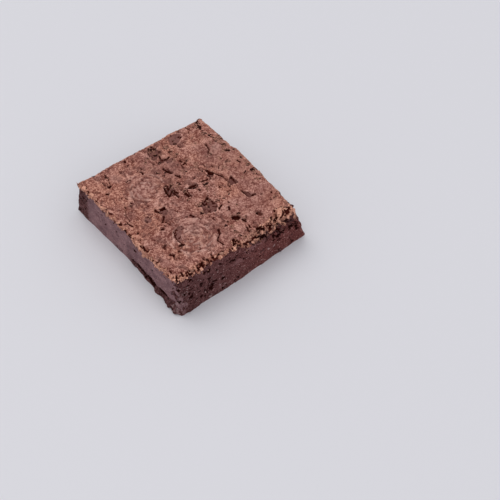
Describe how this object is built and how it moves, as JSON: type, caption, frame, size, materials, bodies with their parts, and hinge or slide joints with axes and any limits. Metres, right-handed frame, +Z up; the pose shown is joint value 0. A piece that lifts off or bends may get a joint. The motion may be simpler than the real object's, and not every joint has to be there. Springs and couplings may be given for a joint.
{
  "type": "brownie",
  "caption": "Square cut chocolate brownie with a thin crackled crust, knife-cut crumb sides and one crumbled shoulder.",
  "frame": {"origin": "middle of the bounding box on the plane that the brownie stands on", "axes": "+Z up out of the crust; +X towards the cut side whose far half has a crumbled shoulder; -Y towards the cut side smoothed by the knife, torn along its foot"},
  "size_m": [0.0846, 0.078, 0.0217],
  "materials": {
    "baked_crumb": "baked chocolate crumb, dark and dense on the cut sides, under a thin papery milk-brown crust with a soft dull sheen, cracked and flaked through to the crumb in places"
  },
  "bodies": {
    "root": {"brownie": "baked_crumb"}
  },
  "joints": []
}
